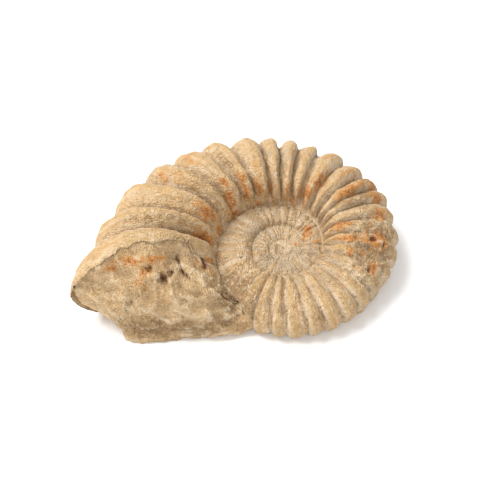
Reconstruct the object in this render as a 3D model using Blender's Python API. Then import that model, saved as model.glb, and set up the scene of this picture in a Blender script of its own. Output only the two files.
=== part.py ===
"""A fossil ammonite of pale limestone, lying on its side, its last whorl broken across.

Angles are in degrees round the coil's axis, seen from above, and grow from the
middle of the coil to the break. Lengths are in millimetres until the last step.
"""

import math

import bpy
import numpy as np

# Size and pose
MM = 0.001
TRIANGLES = 9600
FLAT_BASE = 0.06  # points this near the ground are put on it
LIMESTONE = (0.58, 0.42, 0.26, 1.0)
ROUGHNESS = 0.9
LEAN = math.radians(9.0)  # the coil's far side is propped up by this much
MIDDLE_HEIGHT = 9.0  # of the coil's middle plane over the ground, at its axis

# The coil: one column for each angle
COIL_ANGLES = (
    *(-945, -810, -720, -630, -540, -450, -360, -270, -180),
    *(-90, -40, 0, 90, 120, 180, 195, 225),
)
VENTER_RADII = (
    *(4.2, 5.4, 7.0, 9.6, 10.9, 12.1, 13.5, 17.6, 22.6),
    *(30.5, 32.0, 35.0, 39.6, 42.4, 56.6, 63.8, 88.0),
)
BREADTH_ABOVE = (
    *(0.6, 0.8, 1.0, 1.2, 1.5, 1.9, 2.3, 3.0, 4.2),
    *(6.6, 8.2, 9.8, 13.0, 15.0, 19.2, 21.0, 26.0),
)
BREADTH_BELOW = (
    *(0.6, 0.8, 1.0, 1.2, 1.5, 1.9, 2.3, 3.0, 4.2),
    *(7.2, 8.6, 9.8, 12.4, 11.6, 9.4, 9.2, 9.0),
)
WIDEST_ANGLES = (0, 90, 120, 180, 195, 225)
WIDEST_HEIGHTS = (0.0, 0.6, 1.6, 4.2, 5.0, 6.0)
UNDERCUT = 4.0  # how far the underside draws in below the last ribs
UNDERCUT_ANGLES = (120.0, 190.0)
INNER_EDGE_ANGLES = (-945, -270, -180, -90, 0, 90, 225)
INNER_EDGE_SHARES = (0.40, 0.44, 0.42, 0.34, 0.28, 0.30, 0.42)  # of the venter's radius
SECTION_POWER = 2.14  # 2 is an ellipse, more is squarer
SEAM_TURN = math.radians(169.6)  # round the section, from the venter to the whorl's own seam
COVER_TURN = math.radians(49.0)  # where the next whorl sits on this one
SEAT_SHARE = 0.42  # of the flank, over which a whorl comes down to its seat
SEAM_DEPTH = 0.35

# Where the coil starts, where the last whorl breaks off and where its stump ends
START_ANGLE = -945.0
STRAIGHT_ANGLE = 185.0
BREAK_ANGLE = 206.0
OPEN_ANGLE = 232.0
END_ANGLE = 252.0
EDGE_FLANK = (0.0, 0.07, 0.13, 0.24, 0.5, 0.78, 1.0)
EDGE_ANGLES = (206.0, 204.5, 201.0, 198.0, 198.5, 200.0, 199.0)
EDGE_CHIPS = ((0.09, 1.5), (0.035, 0.7))  # over this share of the flank, and degrees
EDGE_WHOLE = 0.3  # of the flank, from the venter, over which the chips begin
EDGE_SEED = 50

# Ribs: the angles of the grooves between them on the last whorl
GROOVES = (
    *(-130, -119, -108, -96.5, -87.5, -75, -65, -54, -43, -32, -21, -10, 2, 13.5),
    *(24.5, 33.5, 43.5, 57, 71, 82, 93, 103.5, 119.5, 132, 147.5, 160, 176.5, 187.5, 206),
)
INNER_RIB_SPACING = 12.4
RIB_HEIGHT_ANGLES = (-400, -180, -60, 30, 200)
RIB_HEIGHT_SHARES = (0.038, 0.042, 0.062, 0.078, 0.084)  # of the venter's radius, groove to crest
RIB_SKEW = 0.68  # under 1 makes the side towards the coil's middle the steep one
UNDERSIDE_RIBS = 0.6  # of the height above
RIB_POWER_ANGLES = (-90, -30, 60, 100)
RIB_POWERS = (0.8, 0.85, 0.9, 1.0)  # the lower, the broader the crests and the narrower the grooves
WOBBLE = ((0.3, 61.0), (0.2, 37.0))  # of a rib, and over how many degrees, on the inner whorls
WORN_SPOTS = (9.0, 0.35, 0.5)  # over degrees, share of the flank, and loss of the ribs' height
WORN_SEED = 30
CREST_SHARE = 0.38  # of the rib's height stands out of the smooth section
RIB_FADE = (0.02, 0.17)  # of the flank, over which the ribs rise from the seam
RIB_SWEEP = (-3.7, 3.7)  # degrees, first and second power of the way up the flank

# The break, drawn as seen from its front and this far up: across, up, and towards the eye
BREAK_TILT = math.radians(47.0)
BREAK_RIM = (
    *((-63.2, -12.6, 15.9), (-61.2, -14.4, 16.9), (-56.8, -17.1, 18.0), (-53.0, -19.4, 18.2)),
    *((-50.4, -21.2, 17.8), (-49.0, -23.8, 15.4), (-46.7, -27.3, 13.2), (-42.7, -28.2, 14.1)),
    *((-34.7, -27.3, 13.2), (-26.6, -26.1, 12.2), (-18.5, -26.0, 12.7), (-13.0, -25.4, 13.5)),
)
FACETS = (
    # a point across and up, its depth, and the slopes across and up
    (-38.0, 0.0, 26.8, -0.05, 0.23),  # the main face
    (-31.0, -8.0, 24.4, -0.3, 0.26),  # its fall towards the middle of the coil
    (-47.0, -14.0, 23.8, 0.2, 0.24),  # the flat grey face by the tip
    (-38.0, -17.2, 22.7, 0.0, 0.88),  # the undercut along the ground
    (-18.0, -11.0, 14.5, -1.0, -0.9),  # the wall over the middle of the coil
)
EDGE_BLEND = 0.26
WALL_BLEND = 0.12
RIM_BLEND = 0.12

# Wear, cracks and holes
LUMPS = ((9.0, 0.55), (4.2, 0.36), (2.0, 0.2))  # size, height
CALM_RADIUS = 22.0  # the small inner whorls are less lumpy than the flanks this far out
CALM_SHARE = 0.25  # of the lumps is left at the axis
BREAK_LUMPS = ((8.0, 1.1), (3.6, 0.8), (1.8, 0.5))
BREAK_SEED = 20
CRACKS = (
    # width, depth, and the line across and up the break
    (0.6, 2.4, ((-35.3, -8.2), (-34.0, -7.4), (-32.5, -6.9))),
    (0.5, 1.8, ((-35.0, -7.6), (-34.6, -10.2))),
    (0.6, 1.6, ((-39.0, -5.7), (-38.8, -5.4))),
    (1.0, 2.2, ((-24.3, -3.1), (-23.4, -5.6))),
    (0.7, 1.4, ((-31.4, -2.3), (-30.7, -4.8), (-29.3, -7.2), (-27.3, -9.0))),
    (1.1, -0.9, ((-50.4, -21.2), (-46.9, -17.9), (-46.1, -16.0))),
    (1.0, 0.8, ((-52.0, -5.4), (-44.3, -1.9), (-34.3, -1.9))),
)
FLANK_ARC = 1.3  # the flank's length over its width seen from above
HOLES = (
    # angle, share of the flank, width and depth
    (-3.5, 0.62, 1.1, 1.6),
    (-6.0, 0.73, 0.8, 1.0),
    (-24.5, 0.70, 0.8, 1.0),
    (-5.5, 0.49, 0.8, 0.7),
    (186.0, 0.33, 0.8, 0.9),
    (129.0, 0.03, 1.0, 0.9),
    (-29.0, 0.56, 0.6, 0.8),
    (-155.5, 0.33, 0.5, 0.7),
    (-533.0, 0.06, 0.6, 0.9),
    (-546.0, 0.10, 0.5, 0.8),
)
WORN_PLACES = (
    # angle, share of the flank, reach in each, and loss of the ribs' height
    (-8.0, 0.68, 26.0, 0.26, 0.45),
    (-140.0, 0.55, 22.0, 0.60, 0.85),
    (-195.0, 0.40, 40.0, 0.50, 0.55),
)
WORN_EDGE = 1.6  # a worn place fades out this many reaches from its middle
WORN_HUB = (-720.0, -560.0)  # angles where the ribs begin and where they are whole

# Grid
ROWS_PER_TURN = 240
INNER_COLUMNS = 8
OUTER_COLUMNS = 40
DENSER_ANGLE = -150.0
HUB_RINGS = 4
HUB_DOME = 0.3
HUB_SHIFT = 0.25  # of the first whorl's radius, towards the middle of the loop round the hub


def smooth(value):
    value = np.clip(value, 0.0, 1.0)
    return value * value * (3.0 - 2.0 * value)


def through(knots, values, at):
    """A curve through the values that doesn't overshoot between them."""
    knots = np.asarray(knots, float)
    values = np.asarray(values, float)
    steps = np.diff(knots)
    slopes = np.diff(values) / steps
    tangents = np.empty(len(knots))
    tangents[0] = slopes[0]
    tangents[-1] = slopes[-1]
    same_way = slopes[:-1] * slopes[1:] > 0.0
    first = 2.0 * steps[1:] + steps[:-1]
    second = steps[1:] + 2.0 * steps[:-1]
    safe_before = np.where(same_way, slopes[:-1], 1.0)
    safe_after = np.where(same_way, slopes[1:], 1.0)
    harmonic = (first + second) / (first / safe_before + second / safe_after)
    tangents[1:-1] = np.where(same_way, harmonic, 0.0)
    at = np.asarray(at, float)
    place = np.clip(np.searchsorted(knots, at) - 1, 0, len(steps) - 1)
    step = steps[place]
    way = (at - knots[place]) / step
    rise = values[place + 1] - values[place]
    start = tangents[place] * step - rise
    end = rise - tangents[place + 1] * step
    back = 1.0 - way
    return values[place] + way * rise + way * back * (start * back + end * way)


def lattice(x, y, z, seed):
    """A repeatable random number from -1 to 1 for each whole-numbered point."""
    mixed = x * 374761393 + y * 668265263 + z * 1440662683 + seed * 1274126177
    mixed = (mixed ^ (mixed >> 13)) & 0xFFFFFFFF
    mixed = (mixed * 1274126177) & 0xFFFFFFFF
    mixed = mixed ^ (mixed >> 16)
    return mixed / 2147483647.5 - 1.0


def noise(points, size, seed):
    """Smooth noise from -1 to 1 with bumps of this size."""
    place = points / size + 100.0
    whole = np.floor(place).astype(np.int64)
    part = place - whole
    part = part * part * (3.0 - 2.0 * part)
    total = 0.0
    for corner in range(8):
        i, j, k = corner & 1, (corner >> 1) & 1, corner >> 2
        weight = np.where(i, part[..., 0], 1.0 - part[..., 0])
        weight = weight * np.where(j, part[..., 1], 1.0 - part[..., 1])
        weight = weight * np.where(k, part[..., 2], 1.0 - part[..., 2])
        total = total + weight * lattice(whole[..., 0] + i, whole[..., 1] + j, whole[..., 2] + k, seed)
    return total


def powered(value, power):
    return np.sign(value) * np.abs(value) ** power


def coil(angle):
    """Venter radius, inner edge, breadth above and below, and height of the widest line."""
    radius = np.exp(through(COIL_ANGLES, np.log(VENTER_RADII), angle))
    inner = radius * np.interp(angle, INNER_EDGE_ANGLES, INNER_EDGE_SHARES)
    above = through(COIL_ANGLES, BREADTH_ABOVE, angle)
    below = through(COIL_ANGLES, BREADTH_BELOW, angle)
    middle = through(WIDEST_ANGLES, WIDEST_HEIGHTS, np.maximum(angle, WIDEST_ANGLES[0]))
    return radius, inner, above, below, middle


def flank(angle, turn, side):
    """A point of the smooth section and the way out of it, both as (outward, up)."""
    radius, inner, above, below, middle = coil(angle)
    half = (radius - inner) / 2.0
    breadth = np.where(side > 0, above - middle, below + middle)
    power = 2.0 / SECTION_POWER
    out = (radius + inner) / 2.0 + half * powered(np.cos(turn), power)
    up = middle + side * breadth * powered(np.sin(turn), power)
    drawn_in = smooth((angle - UNDERCUT_ANGLES[0]) / (UNDERCUT_ANGLES[1] - UNDERCUT_ANGLES[0]))
    out = out - np.where(side > 0, 0.0, UNDERCUT * drawn_in * np.sin(turn))
    normal_out = np.cos(turn) / half
    normal_up = side * np.sin(turn) / breadth
    length = np.hypot(normal_out, normal_up)
    return np.stack([out, up], -1), np.stack([normal_out, normal_up], -1) / length[..., None]


def rib_phase(angle, way):
    """How far the point is from one groove to the next, 0 to 1."""
    angle = angle - RIB_SWEEP[0] * way - RIB_SWEEP[1] * way * way
    inner = (angle - GROOVES[0]) / INNER_RIB_SPACING
    for share, turn in WOBBLE:
        inner = inner + share * np.sin((angle - GROOVES[0]) / turn * 2.0 * math.pi)
    outer = np.interp(angle, GROOVES, np.arange(len(GROOVES)))
    count = np.where(angle < GROOVES[0], inner, outer)
    return (count - np.floor(count)) ** RIB_SKEW


def worn_away(angle, way, side):
    """The share of the ribs' height that is worn off here."""
    loss = 0.0
    for worn_angle, worn_way, angle_reach, way_reach, most in WORN_PLACES:
        far = np.hypot((angle - worn_angle) / angle_reach, (way - worn_way) / way_reach)
        loss = np.maximum(loss, most * smooth(WORN_EDGE - far))
    return np.where(side > 0, loss, 0.0)


def ribs(angle, way, side):
    phase = rib_phase(angle, way)
    radius = coil(angle)[0]
    power = np.interp(angle, RIB_POWER_ANGLES, RIB_POWERS)
    crest = np.sin(math.pi * phase) ** power - 1.0 + CREST_SHARE
    height = np.interp(angle, RIB_HEIGHT_ANGLES, RIB_HEIGHT_SHARES) * radius
    height = height * (1.0 - worn_away(angle, way, side))
    fade = smooth((way - RIB_FADE[0]) / (RIB_FADE[1] - RIB_FADE[0]))
    worn = smooth((angle - WORN_HUB[0]) / (WORN_HUB[1] - WORN_HUB[0]))
    spots = noise(np.stack([angle / WORN_SPOTS[0], way / WORN_SPOTS[1], side], -1), 1.0, WORN_SEED)
    worn = worn * (1.0 - WORN_SPOTS[2] * smooth(spots))
    under = np.where(side > 0, 1.0, UNDERSIDE_RIBS)
    return crest * height * fade * worn * under


def holes(angle, way):
    """Depth of the holes worn in the flank."""
    radius, inner = coil(angle)[:2]
    depth = 0.0
    for hole_angle, hole_way, width, deep in HOLES:
        round_coil = np.radians(angle - hole_angle) * (radius + inner) / 2.0
        up_flank = (way - hole_way) * (radius - inner) * FLANK_ARC
        distance = np.hypot(round_coil, up_flank)
        depth = depth + deep * np.exp(-((distance / width) ** 2))
    return depth


def bare(angle, turn, side):
    """A point of the ribbed section, before its inner edge comes down to its seat."""
    point, normal = flank(angle, turn, side)
    way = 1.0 - turn / SEAM_TURN
    raised = ribs(angle, way, side) - np.where(side > 0, holes(angle, way), 0.0)
    return point + normal * raised[..., None]


def seat_turn(angle):
    """Where on the whorl inside it the whorl at this angle sits."""
    share = np.clip((angle - OPEN_ANGLE) / (END_ANGLE - OPEN_ANGLE), 0.0, 1.0)
    return COVER_TURN * np.sqrt(1.0 - share * share)


def seated(angle, seam_angle, way, side):
    turn = SEAM_TURN * (1.0 - way)
    point = bare(angle, turn, side)
    seam = np.full_like(angle, SEAM_TURN)
    seat = bare(seam_angle - 360.0, seat_turn(seam_angle), side)
    seat = seat - [0.0, SEAM_DEPTH] * side[..., None]
    shift = seat - bare(seam_angle, seam, side)
    fade = 1.0 - smooth(way / SEAT_SHARE)
    return point + shift * fade[..., None]


def in_space(angle, point):
    """From (outward, up) at an angle of the coil to across, away and up over the ground."""
    angle = np.radians(angle)
    x = point[..., 0] * np.cos(angle)
    y = point[..., 0] * np.sin(angle)
    z = point[..., 1]
    away = y * math.cos(LEAN) - z * math.sin(LEAN)
    up = y * math.sin(LEAN) + z * math.cos(LEAN)
    return np.stack([x, away, up], -1)


def to_break(point):
    tilt_sin = math.sin(BREAK_TILT)
    tilt_cos = math.cos(BREAK_TILT)
    x, away, up = point[..., 0], point[..., 1], point[..., 2]
    return np.stack([x, away * tilt_sin + up * tilt_cos, up * tilt_sin - away * tilt_cos], -1)


def from_break(point):
    tilt_sin = math.sin(BREAK_TILT)
    tilt_cos = math.cos(BREAK_TILT)
    across, up, depth = point[..., 0], point[..., 1], point[..., 2]
    return np.stack([across, up * tilt_sin - depth * tilt_cos, up * tilt_cos + depth * tilt_sin], -1)


def along(points, share):
    """Points spaced along a polyline by share of its length."""
    points = np.asarray(points, float)
    lengths = np.linalg.norm(np.diff(points, axis=0), axis=1)
    travelled = np.concatenate([[0.0], np.cumsum(lengths)]) / lengths.sum()
    return np.stack([np.interp(share, travelled, points[:, i]) for i in range(3)], -1)


def facet_depth(across, up):
    depths = [d + sa * (across - a) + su * (up - b) for a, b, d, sa, su in FACETS]
    return np.min(depths, axis=0)


def crack_depth(across, up):
    """How far the cracks and holes of the break go in; a ridge counts as less than none."""
    total = 0.0
    for width, deep, line in CRACKS:
        nearest = np.full_like(across, 1e9)
        for (ax, ay), (bx, by) in zip(line[:-1], line[1:]):
            run = (bx - ax) ** 2 + (by - ay) ** 2
            share = np.clip(((across - ax) * (bx - ax) + (up - ay) * (by - ay)) / run, 0.0, 1.0)
            away = np.hypot(across - ax - share * (bx - ax), up - ay - share * (by - ay))
            nearest = np.minimum(nearest, away)
        total = total + deep * np.exp(-((nearest / width) ** 2))
    return total


def row_angles():
    """The angles of the rows, with one of them on the break."""
    step = 360.0 / ROWS_PER_TURN
    count = round((END_ANGLE - START_ANGLE) / step)
    rows = END_ANGLE + step * np.arange(-count, 1)
    rows[np.argmin(np.abs(rows - BREAK_ANGLE))] = BREAK_ANGLE
    return rows


def break_edge(way, side):
    """The angle at which the ribbed flank ends in the break, chipped on the upper side."""
    edge = np.interp(way, EDGE_FLANK, EDGE_ANGLES)
    for number, (size, reach) in enumerate(EDGE_CHIPS):
        chips = noise(np.stack([way, 0.0 * way, 0.0 * way], -1), size, EDGE_SEED + number)
        if side > 0:
            edge = edge + reach * chips * smooth(way / size) * smooth((1.0 - way) / EDGE_WHOLE)
    return edge


def whorl_rows(rows, columns, side):
    """One side of the whorl: a row of points for each angle, from the seam outward."""
    angle = np.repeat(rows[:, None], columns + 1, axis=1)
    ahead = rows + 360.0
    covered = np.where(ahead <= END_ANGLE, seat_turn(np.minimum(ahead, END_ANGLE)), 0.0)
    way = np.linspace(0.0, 1.0, columns + 1) * (1.0 - covered / SEAM_TURN)[:, None]
    edge = break_edge(way, side)
    share = (angle - STRAIGHT_ANGLE) / (BREAK_ANGLE - STRAIGHT_ANGLE)
    bent = STRAIGHT_ANGLE + np.minimum(share, 1.0) * (edge - STRAIGHT_ANGLE)
    placed = np.where(angle > STRAIGHT_ANGLE, bent, angle)
    return in_space(placed, seated(placed, angle, way, np.full_like(angle, side)))


def stump_rows(rows, edge, side):
    """The broken end: rows of points between the edge of the break, the seam and the rim."""
    seat = bare(rows - 360.0, seat_turn(rows), np.full_like(rows, side))
    seam = in_space(rows, seat)
    share = (rows - BREAK_ANGLE) / (END_ANGLE - BREAK_ANGLE)
    rim = along([edge[-1], *from_break(np.array(BREAK_RIM)), seam[-1]], share)
    share = share[:, None, None]
    way = np.linspace(0.0, 1.0, len(edge))[:, None]
    bow = edge - edge[0] * (1.0 - way) - edge[-1] * way
    plan = (1.0 - way) * seam[:, None] + way * rim[:, None] + (1.0 - share) * bow
    if side < 0:
        return plan
    view = to_break(plan)
    depth = facet_depth(view[..., 0], view[..., 1]) - crack_depth(view[..., 0], view[..., 1])
    for number, (size, height) in enumerate(BREAK_LUMPS):
        depth = depth + height * noise(view, size, BREAK_SEED + number)
    by_edge = 1.0 - smooth(share / EDGE_BLEND)
    by_seam = 1.0 - smooth(way / WALL_BLEND)
    by_rim = smooth((way - 1.0 + RIM_BLEND) / RIM_BLEND)
    keep = np.maximum(np.maximum(by_edge, by_seam), by_rim)[..., 0]
    view[..., 2] = depth + (view[..., 2] - depth) * keep
    return from_break(view)


def side_rows(rows, side):
    """All the rows of one side, the small inner whorls with fewer points to a row."""
    inner = rows < DENSER_ANGLE
    lines = list(whorl_rows(rows[inner], INNER_COLUMNS, side))
    lines += list(whorl_rows(rows[~inner], OUTER_COLUMNS, side))
    first = np.searchsorted(rows, BREAK_ANGLE)
    lines[first:] = stump_rows(rows[first:], lines[first], side)
    return lines


def strip(here, after):
    """The triangles between two rows of points, which may differ in number."""
    made = []
    j = 0
    k = 0
    while j < len(here) - 1 or k < len(after) - 1:
        here_next = (j + 1) * (len(after) - 1)
        after_next = (k + 1) * (len(here) - 1)
        if here_next < after_next:
            made.append((here[j], here[j + 1], after[k]))
            j += 1
        else:
            made.append((here[j], after[k + 1], after[k]))
            k += 1
    return made


class Surface:
    """Points, each shared by every triangle that meets it, and the triangles."""

    def __init__(self):
        self.points = []
        self.numbers = {}
        self.triangles = []

    def add(self, key, point):
        if key not in self.numbers:
            self.numbers[key] = len(self.points)
            self.points.append(np.array(point))
        return self.numbers[key]

    def join(self, made, side):
        """Adds triangles, turned to face outward, without those that have shrunk to a line."""
        for a, b, c in made:
            if a != b and b != c and c != a:
                self.triangles.append((a, b, c) if side > 0 else (a, c, b))

    def add_rows(self, lines, side):
        """Numbers the points; both sides share the seam and the venter, and a whorl's last
        column is the seam of the whorl round it."""
        last = len(lines) - 1
        end_key = ("venter", last - ROWS_PER_TURN)
        numbered = []
        for i, line in enumerate(lines[:-1]):
            row = [self.add(("seam", side, i), line[0])]
            row += [self.add((side, i, k), line[k]) for k in range(1, len(line) - 1)]
            ahead = i + ROWS_PER_TURN
            if ahead < last:
                row.append(self.add(("seam", side, ahead), lines[ahead][0]))
            else:
                row.append(self.add(("venter", i), line[-1]))
            numbered.append(row)
        numbered.append([self.add(end_key, lines[-1][0])] * len(lines[-1]))
        for here, after in zip(numbered[:-1], numbered[1:]):
            self.join(strip(here, after), side)
        return numbered

    def close_hub(self, numbered, side):
        """Fills the loop inside the first whorl with a low worn dome."""
        ring = [row[0] for row in numbered[: ROWS_PER_TURN + 1]] + numbered[0][-2:0:-1]
        rim = np.array([self.points[n] for n in ring])
        start = math.radians(START_ANGLE)
        centre = rim.mean(axis=0)
        shift = HUB_SHIFT * np.linalg.norm(self.points[ring[0]][:2])
        centre[:2] += shift * math.sin(start), -shift * math.cos(start)
        for number in range(1, HUB_RINGS):
            share = 1.0 - number / HUB_RINGS
            place = centre + (rim - centre) * share
            place[:, 2] += side * HUB_DOME * (1.0 - share * share)
            inside = [self.add(("hub", side, number, n), point) for n, point in enumerate(place)]
            self.join(strip(inside + inside[:1], ring + ring[:1]), -side)
            ring = inside
        centre[2] += side * HUB_DOME
        middle = self.add(("hub", side), centre)
        self.join([(middle, a, b) for a, b in zip(ring, ring[1:] + ring[:1])], side)


def weathered(points, triangles):
    """The points moved in and out along the surface's normals by worn lumps."""
    corners = points[triangles]
    flat = np.cross(corners[:, 1] - corners[:, 0], corners[:, 2] - corners[:, 0])
    normals = np.zeros_like(points)
    for corner in range(3):
        np.add.at(normals, triangles[:, corner], flat)
    normals /= np.linalg.norm(normals, axis=1)[:, None]
    calm = smooth(np.hypot(points[:, 0], points[:, 1]) / CALM_RADIUS)
    calm = CALM_SHARE + (1.0 - CALM_SHARE) * calm
    moved = 0.0
    for seed, (size, height) in enumerate(LUMPS):
        moved = moved + height * noise(points, size, seed)
    return points + normals * (moved * calm)[:, None]


def whole_surface():
    """The points of the whole stone, standing on the ground, and the triangles between them."""
    rows = row_angles()
    surface = Surface()
    for side in (1, -1):
        numbered = surface.add_rows(side_rows(rows, side), side)
        surface.close_hub(numbered, side)
    triangles = np.array(surface.triangles)
    points = weathered(np.array(surface.points), triangles)
    points[:, 2] = np.maximum(points[:, 2] + MIDDLE_HEIGHT, 0.0)
    return points, triangles


def limestone():
    material = bpy.data.materials.new("limestone")
    material.use_nodes = True
    finish = material.node_tree.nodes["Principled BSDF"]
    finish.inputs["Base Color"].default_value = LIMESTONE
    finish.inputs["Roughness"].default_value = ROUGHNESS
    finish.inputs["Metallic"].default_value = 0.0
    return material


def with_fewer_triangles(stone, count):
    """Simplifies the object's mesh, keeping its shape."""
    fewer = stone.modifiers.new("fewer triangles", "DECIMATE")
    fewer.ratio = TRIANGLES / count
    graph = bpy.context.evaluated_depsgraph_get()
    simple = bpy.data.meshes.new_from_object(stone.evaluated_get(graph))
    stone.modifiers.clear()
    stone.data = simple


def set_down(mesh):
    """Puts the lowest points flat on the ground, and the middle of the box over the origin."""
    places = np.empty(3 * len(mesh.vertices))
    mesh.vertices.foreach_get("co", places)
    places = places.reshape(-1, 3)
    places[places[:, 2] < FLAT_BASE * MM, 2] = 0.0
    places[:, :2] -= (places[:, :2].min(axis=0) + places[:, :2].max(axis=0)) / 2.0
    mesh.vertices.foreach_set("co", places.ravel())
    mesh.update()


def main():
    for thing in list(bpy.data.objects):
        bpy.data.objects.remove(thing)
    points, triangles = whole_surface()
    mesh = bpy.data.meshes.new("ammonite")
    mesh.from_pydata((points * MM).tolist(), [], triangles.tolist())
    mesh.materials.append(limestone())
    stone = bpy.data.objects.new("ammonite", mesh)
    bpy.context.scene.collection.objects.link(stone)
    with_fewer_triangles(stone, len(triangles))
    stone.data.name = "ammonite"
    set_down(stone.data)


main()
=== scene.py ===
# %% [markdown]
# # A fossil ammonite, lying on its side
#
# The real object is one piece of pale limestone: the mud that filled an ammonite's shell and
# turned to stone. The inner whorls are small and worn, the last whorl is thick and ribbed, and
# it is broken across at the near left, so that the stone inside shows. It could be sculpted by
# hand or scanned. Here it is built from the way the animal grew: a section that grows as it
# goes round an axis. Every rib, seam and stain then has a place given by an angle round the
# coil and a share of the flank, and can be moved by changing one number.

# %% Load the frame
import math

import bpy
import numpy as np
from mathutils import Matrix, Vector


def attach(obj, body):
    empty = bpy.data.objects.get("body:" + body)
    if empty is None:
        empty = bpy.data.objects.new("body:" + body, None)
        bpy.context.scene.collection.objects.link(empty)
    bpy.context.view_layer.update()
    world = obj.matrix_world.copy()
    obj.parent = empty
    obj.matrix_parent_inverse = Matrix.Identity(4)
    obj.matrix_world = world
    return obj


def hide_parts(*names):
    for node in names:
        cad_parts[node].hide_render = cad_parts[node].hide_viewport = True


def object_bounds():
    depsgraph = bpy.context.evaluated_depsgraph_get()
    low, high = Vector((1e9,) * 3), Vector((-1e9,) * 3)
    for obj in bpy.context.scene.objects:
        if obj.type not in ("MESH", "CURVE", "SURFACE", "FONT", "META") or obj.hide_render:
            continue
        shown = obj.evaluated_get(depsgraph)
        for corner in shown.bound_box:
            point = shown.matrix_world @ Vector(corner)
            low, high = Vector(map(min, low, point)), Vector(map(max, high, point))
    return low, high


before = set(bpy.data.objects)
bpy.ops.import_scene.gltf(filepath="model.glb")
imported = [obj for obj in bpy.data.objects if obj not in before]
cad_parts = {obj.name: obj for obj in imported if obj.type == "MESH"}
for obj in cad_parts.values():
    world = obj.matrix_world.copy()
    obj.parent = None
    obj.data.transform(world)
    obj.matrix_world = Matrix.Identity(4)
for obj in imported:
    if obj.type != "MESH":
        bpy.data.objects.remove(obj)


def put_in_scene(name, data):
    made = bpy.data.objects.new(name, data)
    bpy.context.scene.collection.objects.link(made)
    return made


cad_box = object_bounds()
low, high = np.array(cad_box[0]), np.array(cad_box[1])
MM = 0.001
print("the solid's box in mm:", ((high - low) / MM).round(1))

# %% [markdown]
# ## Curves and noise
#
# The coil's sizes are known at a few angles only. A straight line between them would leave
# corners on the shell, and an ordinary spline would swing past them, so the curve used here
# keeps to the rise between its neighbours. The noise gives each point of space a smooth random
# number, the same at every run, and makes worn lumps that don't stop at the grid's lines.

# %% Smooth steps and curves
def smooth(value):
    value = np.clip(value, 0.0, 1.0)
    return value * value * (3.0 - 2.0 * value)


def ramp(value, limits):
    """0 at the first limit and 1 at the second, with a smooth step between them."""
    return smooth((value - limits[0]) / (limits[1] - limits[0]))


def through(knots, values, at):
    """A curve through the values that doesn't overshoot between them."""
    knots = np.asarray(knots, float)
    values = np.asarray(values, float)
    steps = np.diff(knots)
    slopes = np.diff(values) / steps
    same_way = slopes[:-1] * slopes[1:] > 0.0
    first = 2.0 * steps[1:] + steps[:-1]
    second = steps[1:] + 2.0 * steps[:-1]
    safe_before = np.where(same_way, slopes[:-1], 1.0)
    safe_after = np.where(same_way, slopes[1:], 1.0)
    harmonic = (first + second) / (first / safe_before + second / safe_after)
    inside = np.where(same_way, harmonic, 0.0)
    tangents = np.concatenate([slopes[:1], inside, slopes[-1:]])
    at = np.asarray(at, float)
    place = np.clip(np.searchsorted(knots, at) - 1, 0, len(steps) - 1)
    step = steps[place]
    way = (at - knots[place]) / step
    rise = values[place + 1] - values[place]
    start = tangents[place] * step - rise
    end = rise - tangents[place + 1] * step
    back = 1.0 - way
    return values[place] + way * rise + way * back * (start * back + end * way)


print("halfway up a smooth step:", smooth(0.5))

# %% Repeatable noise
NOISE_SHIFT = 100.0  # keeps the lattice's own origin off the stone


def lattice(x, y, z, seed):
    """A random number from -1 to 1 for each whole-numbered point, mixed from its digits."""
    mixed = x * 374761393 + y * 668265263 + z * 1440662683 + seed * 1274126177
    mixed = (mixed ^ (mixed >> 13)) & 0xFFFFFFFF
    mixed = (mixed * 1274126177) & 0xFFFFFFFF
    mixed = mixed ^ (mixed >> 16)
    return mixed / 2147483647.5 - 1.0


def noise(points, size, seed):
    """Smooth noise from -1 to 1 with bumps of this size."""
    place = points / size + NOISE_SHIFT
    whole = np.floor(place).astype(np.int64)
    part = smooth(place - whole)
    total = 0.0
    for k, j, i in np.ndindex(2, 2, 2):
        corner = np.array([i, j, k])
        weight = np.where(corner, part, 1.0 - part).prod(axis=-1)
        total = total + weight * lattice(*np.moveaxis(whole + corner, -1, 0), seed)
    return total


def lumps(points, sizes, seed):
    """Noise of several sizes, each with its height."""
    total = 0.0
    for number, (size, height) in enumerate(sizes):
        total = total + height * noise(points, size, seed + number)
    return total


print("noise at three places:", noise(np.eye(3) * 5.0, 3.0, 0).round(2))

# %% [markdown]
# ## The coil
#
# An ammonite's whorl is a tube that widens as it turns, and each turn sits on the one inside
# it. Its outer edge is called the venter. The sizes are given against the angle from the
# middle outward. The section is a little squarer than an ellipse, and the side that lies on
# the ground is flatter. The whole coil leans: its far side is propped up.

# %% The coil's sizes
LEAN = math.radians(9.0)  # the coil's far side is propped up by this much
MIDDLE_HEIGHT = 9.0  # of the coil's middle plane over the ground, at its axis
COIL_ANGLES = (
    -945, -810, -720, -630, -540, -450, -360, -270, -180,
    -90, -40, 0, 90, 120, 180, 195, 225,
)
VENTER_RADII = (
    4.2, 5.4, 7.0, 9.6, 10.9, 12.1, 13.5, 17.6, 22.6,
    30.5, 32.0, 35.0, 39.6, 42.4, 56.6, 63.8, 88.0,
)
INNER_BREADTHS = (0.6, 0.8, 1.0, 1.2, 1.5, 1.9, 2.3, 3.0, 4.2)
BREADTH_ABOVE = (*INNER_BREADTHS, 6.6, 8.2, 9.8, 13.0, 15.0, 19.2, 21.0, 26.0)
BREADTH_BELOW = (*INNER_BREADTHS, 7.2, 8.6, 9.8, 12.4, 11.6, 9.4, 9.2, 9.0)
WIDEST_ANGLES = (0, 90, 120, 180, 195, 225)
WIDEST_HEIGHTS = (0.0, 0.6, 1.6, 4.2, 5.0, 6.0)
UNDERCUT = 4.0  # how far the underside draws in below the last ribs
UNDERCUT_ANGLES = (120.0, 190.0)
INNER_EDGE_ANGLES = (-945, -270, -180, -90, 0, 90, 225)
INNER_EDGE_SHARES = (0.40, 0.44, 0.42, 0.34, 0.28, 0.30, 0.42)  # of the venter's radius
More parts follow.
